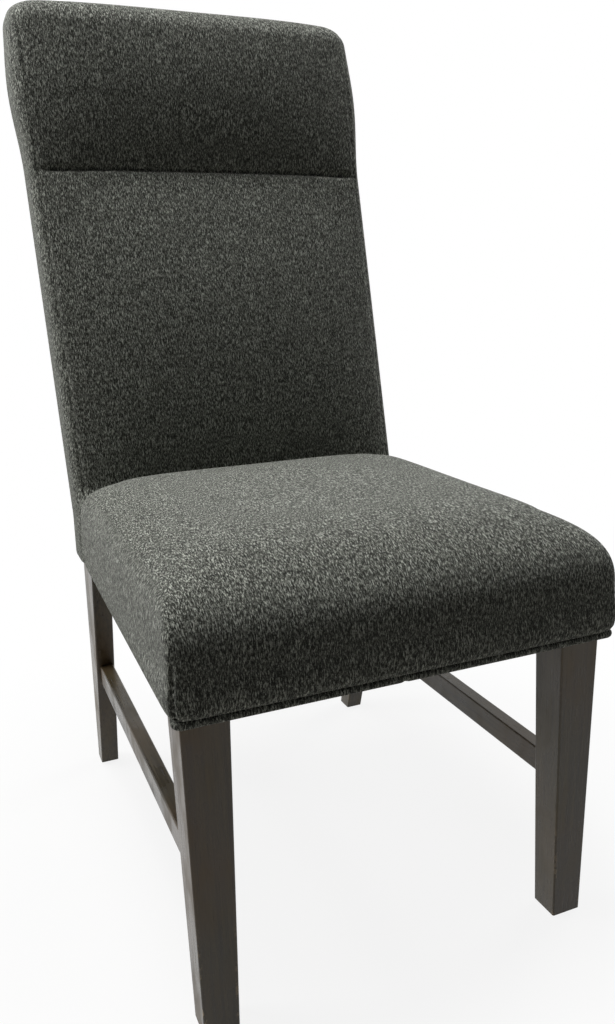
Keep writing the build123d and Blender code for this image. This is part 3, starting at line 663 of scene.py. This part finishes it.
# Seams where the side strips are sewn to the front and to the rear panel.
seam_depth, seam_width, seam_inset = 0.0020, 0.0018, 0.0115
seam_ahead, seam_stop = 0.004, 0.012
points = where_points(back)
front_line = post_line(np.maximum(points[:, 2], panel_bottom_z))
before = points[:, 1] < front_line - seam_ahead
behind = points[:, 1] > front_line + post_depth
seam = seam_depth * bell(np.abs(points[:, 0]) - (back_half - seam_inset), seam_width)
seam *= points[:, 2] < back_top_z - seam_stop
points[:, 1] += seam * before - seam * behind
move_points(back, points)
upholster(
    back,
    "back_upholstery",
    "back_cover",
    "back_foam",
    "headrest_cover",
    "headrest_foam",
    "back_side_panel_left",
    "back_side_panel_right",
    "back_edge_wadding_left",
    "back_edge_wadding_right",
    "outer_back_cover",
    "outer_back_wadding",
)

# Dust cover: a sheet of black spun-bonded cloth under the seat. It is pulled flat across the rails,
# sags a little between them and is stapled along its edge.
dust_cloth, wire, place = material("dust_cloth")
fibre = place.noise(1400, 2, 0.6)
surface(
    wire,
    {
        "Base Color": fibre.between(0.35, 0.7).blend(paint(20, 20, 21), paint(52, 52, 54)),
        "Roughness": 0.9,
        "Normal": fibre.bump(0.0003),
    },
)
dust_low, dust_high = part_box("dust_cover")
dust_size = dust_high - dust_low
dust_sag, dust_drop, dust_columns, dust_rows = 0.0012, 0.0006, 40, 50
bpy.ops.object.select_all(action="DESELECT")
bpy.ops.mesh.primitive_grid_add(x_subdivisions=dust_columns, y_subdivisions=dust_rows, size=2)
dust = bpy.context.object
sheet = where_points(dust)
sag = dust_sag * (1 - sheet[:, 0] ** 2) * (1 - sheet[:, 1] ** 2)
x = sheet[:, 0] * dust_size.x / 2
y = dust_low.y + (sheet[:, 1] + 1) / 2 * dust_size.y
move_points(dust, np.stack([x, y, dust_high.z - dust_drop - sag], 1))
bpy.ops.object.shade_smooth()
dust.name = "dust_cover_cloth"
dust.data.materials.append(dust_cloth)
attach(dust, "root")
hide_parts("dust_cover")

# Staples: short flat crowns of zinc-plated wire that hold the dust cover's edge up to the rails. They
# stop short of the legs at all four corners.
staple_length, staple_width, staple_height, staple_inset = 0.011, 0.0014, 0.0008, 0.006
staple_round, round_steps, staple_count = 0.0003, 2, 7
staple_end_x, staple_front_y, staple_rear_y = 0.15, -0.25, 0.11
staple_z = dust_high.z - dust_drop - staple_height / 2
across_x = np.linspace(-staple_end_x, staple_end_x, staple_count)
along_y = np.linspace(staple_front_y, staple_rear_y, staple_count)
crosswise = (staple_length, staple_width, staple_height)
lengthwise = (staple_width, staple_length, staple_height)
spots = [(px, dust_low.y + staple_inset, crosswise) for px in across_x]
spots += [(px, dust_high.y - staple_inset, crosswise) for px in across_x]
spots += [(dust_low.x + staple_inset, py, lengthwise) for py in along_y]
spots += [(dust_high.x - staple_inset, py, lengthwise) for py in along_y]
crowns = []
for px, py, size in spots:
    bpy.ops.object.select_all(action="DESELECT")
    bpy.ops.mesh.primitive_cube_add(size=1, location=(px, py, staple_z))
    bpy.context.object.scale = size
    crowns.append(bpy.context.object)
for crown in crowns:
    crown.select_set(True)
bpy.ops.object.join()
bpy.ops.object.transform_apply(location=True, rotation=True, scale=True)
bpy.ops.object.mode_set(mode="EDIT")
bpy.ops.mesh.select_all(action="SELECT")
bpy.ops.mesh.bevel(offset=staple_round, segments=round_steps)
bpy.ops.object.mode_set(mode="OBJECT")
staples = bpy.context.object
staples.name = "dust_cover_staples"
staples.data.materials.append(zinc)
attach(staples, "root")

# Studio: a white floor that fades into a white surround, a broad soft light overhead and two windows
# behind the chair, the brighter one on the left.


def looked_at(wire):
    """Where this is seen by the camera, straight or in something shiny or clear."""
    straight = wire.node("ShaderNodeLightPath", output="Is Camera Ray")
    shiny = wire.node("ShaderNodeLightPath", output="Is Glossy Ray")
    clear = wire.node("ShaderNodeLightPath", output="Is Transmission Ray")
    return straight.greater(shiny).greater(clear)


floor_size, fade_from, fade_to, near_white = 14, 0.25, 0.8, 0.86
floor_white, wire, place = material("studio_floor")
from_chair = place.node("ShaderNodeVectorMath", {"operation": "LENGTH"}, {0: place}, "Value")
speck = place.noise(40, 2, 0.5).blend(paint(236, 236, 235), paint(240, 240, 239))
lit = wire.node("ShaderNodeBsdfDiffuse", None, {"Color": speck})
dull = wire.node("ShaderNodeBsdfDiffuse", None, {"Color": paint(176, 174, 170)})
white = wire.node("ShaderNodeEmission", None, {"Color": (1, 1, 1, 1), "Strength": 1.0})
fade_out = from_chair.between(fade_from, fade_to) * (1 - near_white) + near_white
shown = wire.node("ShaderNodeMixShader", None, {0: fade_out, 1: lit, 2: white})
floor_look = wire.node("ShaderNodeMixShader", None, {0: looked_at(wire), 1: dull, 2: shown})
wire.node("ShaderNodeOutputMaterial", None, {"Surface": floor_look})
bpy.ops.object.select_all(action="DESELECT")
bpy.ops.mesh.primitive_plane_add(size=floor_size)
floor = bpy.context.object
floor.name = "studio_floor"
floor.data.materials.append(floor_white)

world = bpy.data.worlds.new("studio")
bpy.context.scene.world = world
world.use_nodes = True
world.node_tree.nodes.clear()
wire = Wire(world.node_tree)
surround = wire.node("ShaderNodeBackground", None, {"Color": (1, 1, 1, 1), "Strength": 0.01})
backdrop = wire.node("ShaderNodeBackground", None, {"Color": (1, 1, 1, 1), "Strength": 1.0})
world_look = wire.node("ShaderNodeMixShader", None, {0: looked_at(wire), 1: surround, 2: backdrop})
wire.node("ShaderNodeOutputWorld", None, {"Surface": world_look})


def soft_light(name, stand, target, size, power):
    """A square soft box that faces the chair."""
    lamp = bpy.data.lights.new(name, "AREA")
    lamp.shape = "SQUARE"
    lamp.size = size
    lamp.energy = power
    box = bpy.data.objects.new(name, lamp)
    box.location = stand
    box.rotation_euler = (Vector(target) - Vector(stand)).to_track_quat("-Z", "Y").to_euler()
    bpy.context.scene.collection.objects.link(box)


soft_light("window_left", (-2.5, 1.2, 1.6), (0, 0, 0.6), 1.4, 46)
soft_light("soft_top", (-0.4, 0.3, 2.9), (0, 0, 0.5), 1.0, 50)
soft_light("window_right", (2.4, 0.8, 1.4), (0, 0, 0.6), 1.4, 26)

# Camera: close in front of the chair and to its left, at two thirds of its height, looking a little
# down. Its place, turn and lens were worked out from the straight edges of the legs and stretchers.
eye = Vector((-0.37186, -1.00648, 0.7026))
yaw, pitch, tilt = math.radians(23.45), math.radians(-17.63), math.radians(-1.35)
photo_width, photo_height = 615, 1024
focal_pixels, centre_x, centre_y = 892.29, 332.27, 561.28
ahead = Vector((math.sin(yaw) * math.cos(pitch), math.cos(yaw) * math.cos(pitch), math.sin(pitch)))
level_right = Vector((math.cos(yaw), -math.sin(yaw), 0))
level_up = level_right.cross(ahead)
right = level_right * math.cos(tilt) + level_up * math.sin(tilt)
up = level_up * math.cos(tilt) - level_right * math.sin(tilt)
lens = bpy.data.cameras.new("camera")
lens.lens = focal_pixels / photo_height * lens.sensor_width
lens.shift_x = (photo_width / 2 - centre_x) / photo_height
lens.shift_y = (centre_y - photo_height / 2) / photo_height
camera = bpy.data.objects.new("camera", lens)
turned = Matrix((right, up, -ahead)).transposed().to_4x4()
camera.matrix_world = Matrix.Translation(eye) @ turned
bpy.context.scene.collection.objects.link(camera)
bpy.context.scene.camera = camera
bpy.context.scene.view_settings.view_transform = "Standard"
